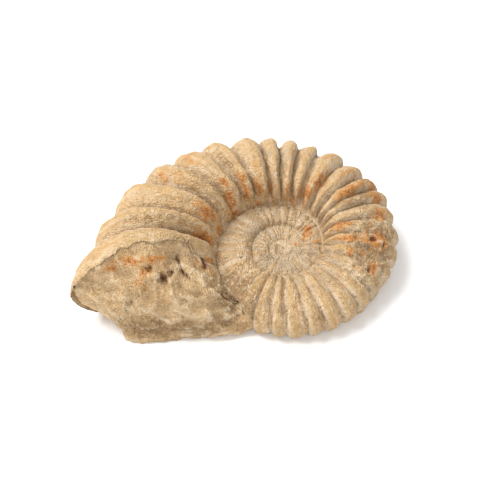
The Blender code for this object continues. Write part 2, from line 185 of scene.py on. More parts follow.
SECTION_POWER = 2.14  # 2 is an ellipse, more is squarer
SEAM_TURN = math.radians(169.6)  # round the section, from the venter to the whorl's own seam
COVER_TURN = math.radians(49.0)  # where the next whorl sits on this one
SEAT_SHARE = 0.42  # of the flank, over which a whorl comes down to its seat
SEAM_DEPTH = 0.35
print("whorl sizes are given at", len(COIL_ANGLES), "angles")

# %% The section at an angle
def powered(value, power):
    return np.sign(value) * np.abs(value) ** power


def coil(angle):
    """Venter radius, inner edge, breadth above and below, and height of the widest line."""
    radius = np.exp(through(COIL_ANGLES, np.log(VENTER_RADII), angle))
    inner = radius * np.interp(angle, INNER_EDGE_ANGLES, INNER_EDGE_SHARES)
    above = through(COIL_ANGLES, BREADTH_ABOVE, angle)
    below = through(COIL_ANGLES, BREADTH_BELOW, angle)
    middle = through(WIDEST_ANGLES, WIDEST_HEIGHTS, np.maximum(angle, WIDEST_ANGLES[0]))
    return radius, inner, above, below, middle


def flank(angle, turn, side):
    """A point of the smooth section and the way out of it, both as (outward, up)."""
    radius, inner, above, below, middle = coil(angle)
    half = (radius - inner) / 2.0
    breadth = np.where(side > 0, above - middle, below + middle)
    power = 2.0 / SECTION_POWER
    out = (radius + inner) / 2.0 + half * powered(np.cos(turn), power)
    up = middle + side * breadth * powered(np.sin(turn), power)
    drawn_in = UNDERCUT * ramp(angle, UNDERCUT_ANGLES) * np.sin(turn)
    out = out - np.where(side > 0, 0.0, drawn_in)
    normal_out = np.cos(turn) / half
    normal_up = side * np.sin(turn) / breadth
    length = np.hypot(normal_out, normal_up)
    return np.stack([out, up], -1), np.stack([normal_out, normal_up], -1) / length[..., None]


print("venter radius at angle 0:", coil(0.0)[0].round(1), "mm")

# %% [markdown]
# ## Ribs
#
# The ribs cross the flank with a slight bend and are strongest round the venter. They aren't
# evenly spaced on the real stone, so the grooves between them are listed one by one on the
# last whorl. A power of a sine gives broad crests and narrow grooves. Where a patch of the
# flank is pitted, the ribs are worn down, and a few small holes go deeper.

# %% Grooves, ribs and holes
GROOVES = (
    -130, -119, -108, -96.5, -87.5, -75, -65, -54, -43, -32, -21, -10, 2, 13.5,
    24.5, 33.5, 43.5, 57, 71, 82, 93, 103.5, 119.5, 132, 147.5, 160, 176.5, 187.5, 206,
)
INNER_RIB_SPACING = 12.4
RIB_HEIGHT_ANGLES = (-400, -180, -60, 30, 200)
RIB_HEIGHT_SHARES = (0.038, 0.042, 0.062, 0.078, 0.084)  # of the venter's radius, groove to crest
RIB_SKEW = 0.68  # under 1 makes the side towards the coil's middle the steep one
UNDERSIDE_RIBS = 0.6  # of the height above
RIB_POWER_ANGLES = (-90, -30, 60, 100)
RIB_POWERS = (0.8, 0.85, 0.9, 1.0)  # the lower, the broader the crests and the narrower the grooves
WOBBLE = ((0.3, 61.0), (0.2, 37.0))  # of a rib, and over how many degrees, on the inner whorls
WORN_SPOTS = (9.0, 0.35, 0.5)  # over degrees, share of the flank, and loss of the ribs' height
WORN_SEED = 30
CREST_SHARE = 0.38  # of the rib's height stands out of the smooth section
RIB_FADE = (0.02, 0.17)  # of the flank, over which the ribs rise from the seam
RIB_SWEEP = (-3.7, 3.7)  # degrees, first and second power of the way up the flank
FLANK_ARC = 1.3  # the flank's length over its width seen from above
HOLES = (
    # angle, share of the flank, width and depth
    (-3.5, 0.62, 1.1, 1.6),
    (-6.0, 0.73, 0.8, 1.0),
    (-24.5, 0.70, 0.8, 1.0),
    (-5.5, 0.49, 0.8, 0.7),
    (186.0, 0.33, 0.8, 0.9),
    (129.0, 0.03, 1.0, 0.9),
    (-29.0, 0.56, 0.6, 0.8),
    (-155.5, 0.33, 0.5, 0.7),
    (-533.0, 0.06, 0.6, 0.9),
    (-546.0, 0.10, 0.5, 0.8),
)
WORN_PLACES = (
    # angle, share of the flank, and reach in each
    (-8.0, 0.68, 26.0, 0.26),
    (-140.0, 0.55, 22.0, 0.60),
    (-195.0, 0.40, 40.0, 0.50),
)
WORN_LOSS = (0.45, 0.85, 0.55)  # of the ribs' height in each of them
WORN_PITTED = (1.0, 0.6, 0.0)  # and how pitted it is
WORN_EDGE = 1.6  # a worn place fades out this many reaches from its middle
WORN_HUB = (-720.0, -560.0)  # angles where the ribs begin and where they are whole
print("ribs on the last whorl:", len(GROOVES) - 1)

# %% Height of the ribs and depth of the holes
def rib_place(angle, way):
    """The number of the rib at this point, with the way across it as a fraction."""
    angle = angle - RIB_SWEEP[0] * way - RIB_SWEEP[1] * way * way
    inner = (angle - GROOVES[0]) / INNER_RIB_SPACING
    for share, turn in WOBBLE:
        inner = inner + share * np.sin((angle - GROOVES[0]) / turn * 2.0 * math.pi)
    outer = np.interp(angle, GROOVES, np.arange(len(GROOVES)))
    return np.where(angle < GROOVES[0], inner, outer)


def in_worn_places(angle, way, strengths):
    """The strength of the worn place here, if there is one."""
    most = 0.0
    for (worn_angle, worn_way, angle_reach, way_reach), strength in zip(WORN_PLACES, strengths):
        far = np.hypot((angle - worn_angle) / angle_reach, (way - worn_way) / way_reach)
        most = np.maximum(most, strength * smooth(WORN_EDGE - far))
    return most


def crest_height(angle, way):
    """0 in a groove, 1 on a crest."""
    place = rib_place(angle, way)
    power = np.interp(angle, RIB_POWER_ANGLES, RIB_POWERS)
    return np.sin(math.pi * (place - np.floor(place)) ** RIB_SKEW) ** power


def ribs(angle, way, side):
    """Height of the surface over the smooth section, below nought in a groove."""
    radius = coil(angle)[0]
    crest = crest_height(angle, way) - 1.0 + CREST_SHARE
    height = np.interp(angle, RIB_HEIGHT_ANGLES, RIB_HEIGHT_SHARES) * radius
    height = height * (1.0 - np.where(side > 0, in_worn_places(angle, way, WORN_LOSS), 0.0))
    fade = ramp(way, RIB_FADE)
    worn = ramp(angle, WORN_HUB)
    spots = noise(np.stack([angle / WORN_SPOTS[0], way / WORN_SPOTS[1], side], -1), 1.0, WORN_SEED)
    worn = worn * (1.0 - WORN_SPOTS[2] * smooth(spots))
    under = np.where(side > 0, 1.0, UNDERSIDE_RIBS)
    return crest * height * fade * worn * under


def holes(angle, way):
    """Depth of the holes worn in the flank."""
    radius, inner = coil(angle)[:2]
    depth = 0.0
    for hole_angle, hole_way, width, deep in HOLES:
        round_coil = np.radians(angle - hole_angle) * (radius + inner) / 2.0
        up_flank = (way - hole_way) * (radius - inner) * FLANK_ARC
        distance = np.hypot(round_coil, up_flank)
        depth = depth + deep * np.exp(-((distance / width) ** 2))
    return depth


print("the deepest hole:", holes(-3.5, 0.62).round(2), "mm")

# %% [markdown]
# ## How a whorl sits on the one inside it
#
# A whorl covers the outer part of the whorl inside it. Both are parts of one stone here, so
# the surface has to be one closed skin: each whorl's inner edge is brought down to a line on
# the flank of the whorl inside, and the two share the points of that line, the seam. Past the
# break the whorl inside comes out from under its cover. The edge of the break bends back over
# the flank and is chipped.

# %% Seats and seams
START_ANGLE = -945.0
STRAIGHT_ANGLE = 185.0  # from here the rows bend to meet the edge of the break
BREAK_ANGLE = 206.0
OPEN_ANGLE = 232.0  # where the whorl inside starts to come out
END_ANGLE = 252.0  # where it is bare up to its venter
UNDER_BREAK = 0.5  # marks the broken end's underside; the flank has 0 and the face 1
EDGE_FLANK = (0.0, 0.07, 0.13, 0.24, 0.5, 0.78, 1.0)
EDGE_ANGLES = (206.0, 204.5, 201.0, 198.0, 198.5, 200.0, 199.0)
EDGE_CHIPS = ((0.09, 1.5), (0.035, 0.7))  # over this share of the flank, and degrees
EDGE_WHOLE = 0.3  # of the flank, from the venter, over which the chips begin
EDGE_SEED = 50


def bare(angle, turn, side):
    """A point of the ribbed section, before its inner edge comes down to its seat."""
    point, normal = flank(angle, turn, side)
    way = 1.0 - turn / SEAM_TURN
    raised = ribs(angle, way, side) - np.where(side > 0, holes(angle, way), 0.0)
    return point + normal * raised[..., None]


def seat_turn(angle):
    """Where on the whorl inside it the whorl at this angle sits."""
    share = np.clip((angle - OPEN_ANGLE) / (END_ANGLE - OPEN_ANGLE), 0.0, 1.0)
    return COVER_TURN * np.sqrt(1.0 - share * share)


def seated(angle, seam_angle, way, side):
    turn = SEAM_TURN * (1.0 - way)
    point = bare(angle, turn, side)
    seam = np.full_like(angle, SEAM_TURN)
    seat = bare(seam_angle - 360.0, seat_turn(seam_angle), side)
    seat = seat - [0.0, SEAM_DEPTH] * side[..., None]
    shift = seat - bare(seam_angle, seam, side)
    fade = 1.0 - smooth(way / SEAT_SHARE)
    return point + shift * fade[..., None]


def in_space(angle, point):
    """From (outward, up) at an angle of the coil to across, away and up over the ground."""
    angle = np.radians(angle)
    x = point[..., 0] * np.cos(angle)
    y = point[..., 0] * np.sin(angle)
    z = point[..., 1]
    away = y * math.cos(LEAN) - z * math.sin(LEAN)
    up = y * math.sin(LEAN) + z * math.cos(LEAN)
    return np.stack([x, away, up], -1)


print("the seam lies", round(math.degrees(seat_turn(0.0))), "degrees round the section inside")

# %% [markdown]
# ## The break
#
# The last whorl is snapped off, and the break is a rough stepped face. Seen straight on it is
# made of a few flat facets, each a plane; the surface at any place is the lowest of them. Lumps
# of four sizes, the holes and the cracks are then added. Working in the face's own frame
# (across, up and towards the eye) makes each facet three or four numbers.

# %% The break's frame, rim, facets and cracks
BREAK_TILT = math.radians(47.0)
BREAK_AXES = np.array([
    [1.0, 0.0, 0.0],
    [0.0, math.sin(BREAK_TILT), -math.cos(BREAK_TILT)],
    [0.0, math.cos(BREAK_TILT), math.sin(BREAK_TILT)],
])
BREAK_RIM = (
    (-63.2, -12.6, 15.9), (-61.2, -14.4, 16.9), (-56.8, -17.1, 18.0), (-53.0, -19.4, 18.2),
    (-50.4, -21.2, 17.8), (-49.0, -23.8, 15.4), (-46.7, -27.3, 13.2), (-42.7, -28.2, 14.1),
    (-34.7, -27.3, 13.2), (-26.6, -26.1, 12.2), (-18.5, -26.0, 12.7), (-13.0, -25.4, 13.5),
)
FACETS = (
    # a point across and up, its depth, and the slopes across and up
    (-38.0, 0.0, 26.8, -0.05, 0.23),  # the main face
    (-31.0, -8.0, 24.4, -0.3, 0.26),  # its fall towards the middle of the coil
    (-47.0, -14.0, 23.8, 0.2, 0.24),  # the flat grey face by the tip
    (-38.0, -17.2, 22.7, 0.0, 0.88),  # the undercut along the ground
    (-18.0, -11.0, 14.5, -1.0, -0.9),  # the wall over the middle of the coil
)
EDGE_BLEND = 0.26  # shares of the face, over which it runs into its edge,
WALL_BLEND = 0.12  # its seam
RIM_BLEND = 0.12  # and its rim
BREAK_LUMPS = ((8.0, 1.1), (3.6, 0.8), (1.8, 0.5), (1.3, 0.16))  # size and height
BREAK_SEED = 20
CRACKS = (
    # width, depth, and the line across and up the break
    (0.45, 2.4, ((-35.3, -8.2), (-34.0, -7.4), (-32.5, -6.9))),
    (0.4, 1.8, ((-35.0, -7.6), (-34.6, -10.2))),
    (0.6, 1.6, ((-39.0, -5.7), (-38.8, -5.4))),
    (1.0, 2.2, ((-24.3, -3.1), (-23.4, -5.6))),
    (0.5, 2.2, ((-31.4, -2.3), (-30.7, -4.8), (-29.3, -7.2), (-27.3, -9.0))),
    (1.1, -0.9, ((-50.4, -21.2), (-46.9, -17.9), (-46.1, -16.0))),
    (1.0, 0.8, ((-52.0, -5.4), (-44.3, -1.9), (-34.3, -1.9))),
)
FINE_RIDGES = (
    # the same, and these are pale
    (0.7, -0.6, ((-61.3, -10.0), (-56.0, -13.6), (-51.2, -17.8), (-47.8, -20.7))),
    (0.6, -0.5, ((-45.9, -16.3), (-47.8, -20.7))),
    (0.8, -0.8, ((-45.9, -17.3), (-43.0, -16.8), (-38.5, -19.0), (-34.3, -21.2))),
    (0.8, -0.7, ((-34.3, -21.2), (-26.5, -20.2), (-21.8, -18.7), (-15.5, -17.9))),
    (0.6, -0.5, ((-30.0, -13.5), (-25.0, -15.0), (-20.0, -13.0), (-18.5, -9.0))),
    (0.5, -0.5, ((-36.4, -8.9), (-36.0, -7.2), (-36.9, -5.9))),
)
print("facets, cracks and ridges:", len(FACETS), len(CRACKS), len(FINE_RIDGES))

# %% Depth of the break
def to_break(points):
    """From across, away and up to across and up the break's face and towards the eye."""
    return points @ BREAK_AXES


def from_break(points):
    return points @ BREAK_AXES.T


def along(points, share):
    """Points spaced along a line of straight pieces by share of its length."""
    points = np.asarray(points, float)
    lengths = np.linalg.norm(np.diff(points, axis=0), axis=1)
    travelled = np.concatenate([[0.0], np.cumsum(lengths)]) / lengths.sum()
    return np.stack([np.interp(share, travelled, points[:, i]) for i in range(3)], -1)


def facet_depth(across, up):
    depths = [d + sa * (across - a) + su * (up - b) for a, b, d, sa, su in FACETS]
    return np.min(depths, axis=0)


def crack_depth(across, up, cracks):
    """How far the cracks and holes of the break go in; a ridge counts as less than none."""
    total = 0.0
    for width, deep, line in cracks:
        nearest = np.full_like(across, np.inf)
        for (ax, ay), (bx, by) in zip(line[:-1], line[1:]):
            run = (bx - ax) ** 2 + (by - ay) ** 2
            share = np.clip(((across - ax) * (bx - ax) + (up - ay) * (by - ay)) / run, 0.0, 1.0)
            away = np.hypot(across - ax - share * (bx - ax), up - ay - share * (by - ay))
            nearest = np.minimum(nearest, away)
        total = total + deep * np.exp(-((nearest / width) ** 2))
    return total


print("the main face is this deep at its middle:", facet_depth(-38.0, 0.0), "mm")

# %% [markdown]
# ## Rows of points
#
# The skin is a grid: a row of points for each angle, running from the seam out over the flank.
# The upper side needs more points to a row than the side that lies on the ground, and the tiny
# inner whorls need fewer than the last one. Each point carries what the finish will ask about
# later: its angle, its share of the flank, how far it is up a rib, and whether it is on the
# break.

# %% Rows and the edge of the break
ROWS_PER_TURN = 400
INNER_COLUMNS = {1: 20, -1: 8}
OUTER_COLUMNS = {1: 100, -1: 48}
DENSER_ANGLE = -150.0


def row_angles():
    """The angles of the rows, with one of them on the break."""
    step = 360.0 / ROWS_PER_TURN
    count = round((END_ANGLE - START_ANGLE) / step)
    rows = END_ANGLE + step * np.arange(-count, 1)
    rows[np.argmin(np.abs(rows - BREAK_ANGLE))] = BREAK_ANGLE
    return rows


def break_edge(way, side):
    """The angle at which the ribbed flank ends in the break, chipped on the upper side."""
    edge = np.interp(way, EDGE_FLANK, EDGE_ANGLES)
    for number, (size, reach) in enumerate(EDGE_CHIPS):
        chips = noise(np.stack([way, 0.0 * way, 0.0 * way], -1), size, EDGE_SEED + number)
        if side > 0:
            edge = edge + reach * chips * smooth(way / size) * smooth((1.0 - way) / EDGE_WHOLE)
    return edge


print("rows:", len(row_angles()))

# %% The whorls and the broken end
def with_facts(points, angle, way, on_break):
    """Adds angle, share of the flank, rib height and the break's mark to each point."""
    crest = np.where(on_break > 0.0, 1.0, crest_height(angle, way))
    return np.concatenate([points, np.stack([angle, way, crest, on_break], -1)], -1)


def whorl_rows(rows, columns, side):
    """One side of the whorl: a row of points for each angle, from the seam outward."""
    angle = np.repeat(rows[:, None], columns + 1, axis=1)
    ahead = rows + 360.0
    covered = np.where(ahead <= END_ANGLE, seat_turn(np.minimum(ahead, END_ANGLE)), 0.0)
    way = np.linspace(0.0, 1.0, columns + 1) * (1.0 - covered / SEAM_TURN)[:, None]
    edge = break_edge(way, side)
    share = (angle - STRAIGHT_ANGLE) / (BREAK_ANGLE - STRAIGHT_ANGLE)
    bent = STRAIGHT_ANGLE + np.minimum(share, 1.0) * (edge - STRAIGHT_ANGLE)
    placed = np.where(angle > STRAIGHT_ANGLE, bent, angle)
    points = in_space(placed, seated(placed, angle, way, np.full_like(angle, side)))
    return with_facts(points, placed, way, np.zeros_like(angle))


def stump_rows(rows, edge, side):
    """The broken end: rows of points between the edge of the break, the seam and the rim."""
    edge = edge[:, :3]
    seat = bare(rows - 360.0, seat_turn(rows), np.full_like(rows, side))
    seam = in_space(rows, seat)
    share = (rows - BREAK_ANGLE) / (END_ANGLE - BREAK_ANGLE)
    rim = along([edge[-1], *from_break(np.array(BREAK_RIM)), seam[-1]], share)
    share = share[:, None, None]
    way = np.linspace(0.0, 1.0, len(edge))[:, None]
    bow = edge - edge[0] * (1.0 - way) - edge[-1] * way
    plan = (1.0 - way) * seam[:, None] + way * rim[:, None] + (1.0 - share) * bow
    angle = np.repeat(rows[:, None], len(edge), axis=1)
    flank_share = np.repeat(way.T, len(rows), axis=0)
    if side < 0:
        return with_facts(plan, angle, flank_share, np.full_like(angle, UNDER_BREAK))
    view = to_break(plan)
    across, up = view[..., 0], view[..., 1]
    depth = facet_depth(across, up) - crack_depth(across, up, CRACKS + FINE_RIDGES)
    depth = depth + lumps(view, BREAK_LUMPS, BREAK_SEED)
    by_edge = 1.0 - smooth(share / EDGE_BLEND)
    by_seam = 1.0 - smooth(way / WALL_BLEND)
    by_rim = smooth((way - 1.0 + RIM_BLEND) / RIM_BLEND)
    keep = np.maximum(np.maximum(by_edge, by_seam), by_rim)[..., 0]
    view[..., 2] = depth + (view[..., 2] - depth) * keep
    return with_facts(from_break(view), angle, flank_share, np.ones_like(angle))


def side_rows(rows, side):
    """All the rows of one side, the small inner whorls with fewer points to a row."""
    inner = rows < DENSER_ANGLE
    lines = list(whorl_rows(rows[inner], INNER_COLUMNS[side], side))
    lines += list(whorl_rows(rows[~inner], OUTER_COLUMNS[side], side))
    first = np.searchsorted(rows, BREAK_ANGLE)
    lines[first:] = stump_rows(rows[first:], lines[first], side)
    return lines


upper_rows = side_rows(row_angles(), 1)
print("the upper side has", len(upper_rows), "rows and", sum(map(len, upper_rows)), "points")

# %% [markdown]
# ## One closed skin
#
# Points that two parts of the skin share, on a seam or along the venter, must be one point, or
# the stone would split there under a subdivision or a bake. Each point is therefore added under
# a key that says what it is, and a key that is already known gives back the same number. Rows
# of different lengths are joined by stepping along whichever is behind.

# %% A surface whose points are shared
HUB_RINGS = 4
HUB_DOME = 0.3
HUB_SHIFT = 0.25  # of the first whorl's radius, towards the middle of the loop round the hub


def strip(here, after):
    """The triangles between two rows of points, which may differ in number."""
    made = []
    j = 0
    k = 0
    while j < len(here) - 1 or k < len(after) - 1:
        here_next = (j + 1) * (len(after) - 1)
        after_next = (k + 1) * (len(here) - 1)
        if here_next < after_next:
            made.append((here[j], here[j + 1], after[k]))
            j += 1
        else:
            made.append((here[j], after[k + 1], after[k]))
            k += 1
    return made


class Surface:
    """Points, each shared by every triangle that meets it, and the triangles."""

    def __init__(self):
        self.points = []
        self.numbers = {}
        self.triangles = []

    def add(self, key, point):
        if key not in self.numbers:
            self.numbers[key] = len(self.points)
            self.points.append(np.array(point))
        return self.numbers[key]

    def join(self, made, side):
        """Adds triangles, turned to face outward, without those that have shrunk to a line."""
        for a, b, c in made:
            if a != b and b != c and c != a:
                self.triangles.append((a, b, c) if side > 0 else (a, c, b))

    def add_rows(self, lines, side):
        """Numbers the points; both sides share the seam and the venter, and a whorl's last
        column is the seam of the whorl round it."""
        last = len(lines) - 1
        numbered = []
        for i, line in enumerate(lines[:-1]):
            row = [self.add(("seam", side, i), line[0])]
            row += [self.add((side, i, k), line[k]) for k in range(1, len(line) - 1)]
            ahead = i + ROWS_PER_TURN
            if ahead < last:
                row.append(self.add(("seam", side, ahead), lines[ahead][0]))
            else:
                row.append(self.add(("venter", i), line[-1]))
            numbered.append(row)
        end = self.add(("venter", last - ROWS_PER_TURN), lines[-1][0])
        numbered.append([end] * len(lines[-1]))
        for here, after in zip(numbered[:-1], numbered[1:]):
            self.join(strip(here, after), side)
        return numbered

    def close_hub(self, numbered, side):
        """Fills the loop inside the first whorl with a low worn dome."""
        ring = [row[0] for row in numbered[: ROWS_PER_TURN + 1]] + numbered[0][-2:0:-1]
        rim = np.array([self.points[n] for n in ring])
        start = math.radians(START_ANGLE)
        centre = rim.mean(axis=0)
        shift = HUB_SHIFT * np.linalg.norm(self.points[ring[0]][:2])
        centre[:2] += shift * math.sin(start), -shift * math.cos(start)
        for number in range(1, HUB_RINGS):
            share = 1.0 - number / HUB_RINGS
            place = centre + (rim - centre) * share
            place[:, 2] += side * HUB_DOME * (1.0 - share * share)
            inside = [self.add(("hub", side, number, n), point) for n, point in enumerate(place)]
            self.join(strip(inside + inside[:1], ring + ring[:1]), -side)
            ring = inside
        centre[2] += side * HUB_DOME
        middle = self.add(("hub", side), centre)
        self.join([(middle, a, b) for a, b in zip(ring, ring[1:] + ring[:1])], side)


print("rings in the hub:", HUB_RINGS)

# %% Joining the rows
skin = Surface()
for side, lines in ((1, upper_rows), (-1, side_rows(row_angles(), -1))):
    skin.close_hub(skin.add_rows(lines, side), side)
facts = np.array(skin.points)
faces = np.array(skin.triangles)
print("the skin has", len(facts), "points and", len(faces), "triangles")

# %% [markdown]
# ## Wear
#
# Weather has rounded the stone and left low lumps from a centimetre down to a millimetre. A
# displacement modifier could do it from a texture, but the points are already at hand, so they
# are moved along their normals here. The three sizes of LUMPS match the solid. The rest exists
# only here: a grain and pits, strongest on the pitted patch, sharp creases all over the break,
# a fine line at the bottom of each groove, and the shell's growth lines beside the ribs.

# %% Lumps, grain, pits and creases
LUMPS = ((9.0, 0.55), (4.2, 0.36), (2.0, 0.2))  # size, height
LUMP_SEED = 0
CALM_RADIUS = 22.0  # the small inner whorls are less lumpy than the flanks this far out
CALM_SHARE = 0.25  # of the lumps is left at the axis
GRAIN = ((2.6, 0.10), (1.5, 0.13), (0.9, 0.08))  # size and height of the finer lumps
GRAIN_SEED = 40
CREASE_SEED = 50
PIT_SIZE = 1.7
PIT_DEPTH = 0.35
PIT_LEVEL = (0.25, 0.75)  # of the noise, where a pit begins and where it is deepest
CREASES = ((5.0, 0.65), (2.4, 0.44), (1.3, 0.24))  # size and height of the break's ridges
CREASES_ELSEWHERE = 0.2  # of that height
CREASE_WIDTH = 0.25  # of the noise, on either side of nought
CREASE_MEAN = 0.3
CUT_ANGLES = (-150, -100, 60, 130)  # a sharp line at the bottom of each groove
CUT_DEPTHS = (0.0, 0.3, 0.4, 0.9)
CUT_WIDTH = 0.1  # of a rib
GROWTH_LINES = 4.0  # to a rib
GROWTH_HEIGHT = 0.1
GROWTH_PATCH = 7.0
GROWTH_SEED = 7
BREAK_ROUGH = 0.35  # how pitted the break is
HUB_ROUGH = 0.15  # and the inner whorls
HUB_ANGLES = (-150.0, -240.0)  # where they begin to be, and where they are so in full
ROUGHER = 2.8  # how much stronger the grain is on the pitted patch


def normals_of(points, triangles):
    corners = points[triangles]
    flat = np.cross(corners[:, 1] - corners[:, 0], corners[:, 2] - corners[:, 0])
    normals = np.zeros_like(points)
    for corner in range(3):
        np.add.at(normals, triangles[:, corner], flat)
    return normals / np.linalg.norm(normals, axis=1)[:, None]


def worn_lumps(points):
    calm = smooth(np.hypot(points[:, 0], points[:, 1]) / CALM_RADIUS)
    calm = CALM_SHARE + (1.0 - CALM_SHARE) * calm
    return lumps(points, LUMPS, LUMP_SEED) * calm


def creases(points):
    """Sharp low ridges, where a noise goes through nought."""
    moved = 0.0
    for number, (size, height) in enumerate(CREASES):
        ridge = 1.0 - np.abs(noise(points, size, CREASE_SEED + number)) / CREASE_WIDTH
        moved = moved + height * (np.maximum(ridge, 0.0) - CREASE_MEAN)
    return moved


def fine_relief(points, rough):
    moved = lumps(points, GRAIN, GRAIN_SEED)
    pits = ramp(noise(points, PIT_SIZE, GRAIN_SEED + len(GRAIN)), PIT_LEVEL)
    return moved * (1.0 + (ROUGHER - 1.0) * rough) - PIT_DEPTH * pits * rough


print("sizes of lumps:", len(LUMPS) + len(GRAIN) + len(CREASES))

# %% Moving the points
smooth_points = facts[:, :3]
angle, way, crest, on_break = facts[:, 3:].T
normals = normals_of(smooth_points, faces)
upper = normals[:, 2] > 0.0
on_flank = on_break == 0.0
on_face = on_break == 1.0
ribs_passed = rib_place(angle, way)
hub_pits = HUB_ROUGH * ramp(angle, HUB_ANGLES)
rough = np.maximum(in_worn_places(angle, way, WORN_PITTED), hub_pits) * upper
rough = np.maximum(rough, BREAK_ROUGH * on_break)
growth = np.sin(2.0 * math.pi * GROWTH_LINES * ribs_passed)
growth = growth * GROWTH_HEIGHT * smooth(noise(smooth_points, GROWTH_PATCH, GROWTH_SEED) + 0.5)
growth = growth * (on_flank & (angle >= GROOVES[0]))
beside_groove = np.abs(ribs_passed - np.round(ribs_passed)) / CUT_WIDTH
cut = np.interp(angle, CUT_ANGLES, CUT_DEPTHS) * np.exp(-(beside_groove**2))
cut = cut * smooth(way / RIB_FADE[1]) * on_flank
finest = fine_relief(smooth_points, rough)
finest = finest + creases(smooth_points) * np.where(on_face, 1.0, CREASES_ELSEWHERE)
lift = worn_lumps(smooth_points) + finest + (growth - cut) * (1.0 - rough)
points = smooth_points + normals * lift[:, None]
points[:, 2] = np.maximum(points[:, 2] + MIDDLE_HEIGHT, 0.0)
print("the wear moves the skin by", lift.min().round(2), "to", lift.max().round(2), "mm")

# %% [markdown]
# ## Into the frame
#
# The solid's box is the law for the size. The coil's axis is moved so that the middle of this
# skin's box lies over the middle of the solid's, and the skin is scaled by the last fraction of
# a per cent that the finer relief adds.

# %% Fitting the skin to the solid's box
points = points * MM
skin_low, skin_high = points.min(axis=0), points.max(axis=0)
fit = min(float(((high - low) / (skin_high - skin_low)).min()), 1.0)
skin_middle = (skin_low + skin_high) / 2.0
axis_place = (low + high) / 2.0 - skin_middle
axis_place[2] = low[2]
base = skin_middle * [1.0, 1.0, 0.0]
points = (points - base) * fit + base + axis_place
print("scaled by", round(fit, 4), "and the coil's axis is at", axis_place.round(4))

# %% [markdown]
# ## Where the stone is stained
#
# Rust has seeped into the inner ends of the grooves, where the whorls meet, and into a band
# across the break. Brown grime sits at the foot of the broken end and on the pitted patch;
# where the broken end meets the whorl inside it, that brown is partly painted shade of the
# corner. The break's fresh ridges and chips are pale, and its upper rim has a pale band of
# painted light. A purely random stain would put them anywhere, so each patch has a place: an
# angle and a share of the flank on the coil, or a place across and up on the break. Their edges
# are broken up later, in the material.

# %% Places of rust
COIL_RUST = (
    # angle, share of the flank, reach in mm round the coil and up the flank, strength
    (168.5, 0.21, 3.2, 4.4, 1.0), (185.0, 0.12, 2.2, 5.0, 1.0), (169.0, 0.05, 3.0, 3.0, 0.9),
    (140.5, 0.29, 1.4, 3.4, 0.9), (143.0, 0.16, 2.2, 4.6, 1.0), (146.0, 0.05, 5.0, 3.0, 0.9),
    (126.0, 0.30, 1.2, 3.0, 0.8), (127.5, 0.16, 2.0, 5.0, 1.0), (114.0, 0.21, 1.5, 4.4, 0.9),
    (111.0, 0.09, 1.7, 2.4, 0.8), (93.5, 0.37, 0.8, 1.5, 0.7), (109.0, 0.34, 0.8, 1.7, 0.5),
    (63.0, 0.25, 3.2, 4.4, 1.0), (57.0, 0.38, 1.6, 4.6, 0.9), (36.0, 0.50, 1.6, 5.0, 1.0),
    (7.0, 0.34, 1.8, 4.2, 1.0), (-7.0, 0.42, 1.5, 4.6, 0.8), (-4.0, 0.56, 2.2, 2.4, 0.9),
    (-4.0, 0.66, 2.8, 2.8, 1.0), (-2.5, 0.73, 2.0, 1.8, 1.0), (-15.5, 0.56, 1.4, 1.4, 0.9),
    (-22.5, 0.73, 1.8, 2.6, 1.0), (-20.5, 0.47, 1.3, 1.3, 0.8), (-42.5, 0.52, 1.0, 1.6, 0.5),
    (25.5, 0.74, 1.8, 4.0, 0.8), (35.5, 0.78, 1.6, 3.6, 0.7), (155.5, 0.62, 1.6, 8.0, 0.6),
    (14.0, 0.70, 1.6, 4.0, 0.9), (47.0, 0.60, 1.4, 4.0, 0.6), (85.0, 0.20, 1.4, 3.4, 0.8),
    (142.0, 0.56, 0.9, 3.6, 0.5), (199.0, 0.34, 1.0, 4.4, 0.6), (200.5, 0.24, 0.8, 2.0, 0.6),
    (-331.0, 0.18, 2.2, 2.6, 1.0), (-321.0, 0.38, 1.5, 2.2, 0.9), (-145.5, 0.50, 0.8, 0.8, 0.7),
    (-352.0, 0.45, 1.2, 1.6, 0.6), (-696.0, 0.30, 0.8, 0.8, 0.9), (-345.0, 0.70, 1.4, 1.4, 0.6),
    (-157.5, 0.48, 0.8, 1.6, 0.5), (-169.0, 0.71, 1.6, 1.8, 0.8), (202.0, 0.10, 1.8, 2.5, 0.9),
    (119.0, 0.03, 7.0, 2.6, 0.72), (98.0, 0.04, 6.0, 2.6, 0.66), (79.0, 0.07, 5.0, 3.4, 0.74),
    (172.0, 0.03, 5.0, 2.4, 0.70), (66.0, 0.16, 3.0, 3.6, 0.80), (103.0, 0.16, 1.2, 4.0, 0.62),
)
BREAK_RUST = (
    # across and up the break, reach across and up, strength
    (-45.3, -3.6, 4.4, 1.5, 1.0), (-49.5, -5.4, 2.6, 1.3, 1.0), (-38.0, -2.9, 3.4, 1.7, 1.0),
    (-35.3, -2.3, 1.6, 1.1, 0.9), (-39.5, -6.9, 2.3, 1.6, 0.9), (-41.2, -10.0, 3.0, 2.4, 0.62),
    (-56.8, -12.6, 1.2, 0.8, 0.6), (-48.3, -19.0, 0.8, 1.7, 0.5), (-40.0, -20.2, 1.3, 0.8, 0.5),
    (-33.9, -25.0, 6.0, 1.2, 0.4), (-24.5, -5.0, 2.6, 2.4, 0.55), (-21.3, -7.0, 1.4, 1.4, 0.5),
)
print("patches of rust:", len(COIL_RUST) + len(BREAK_RUST))
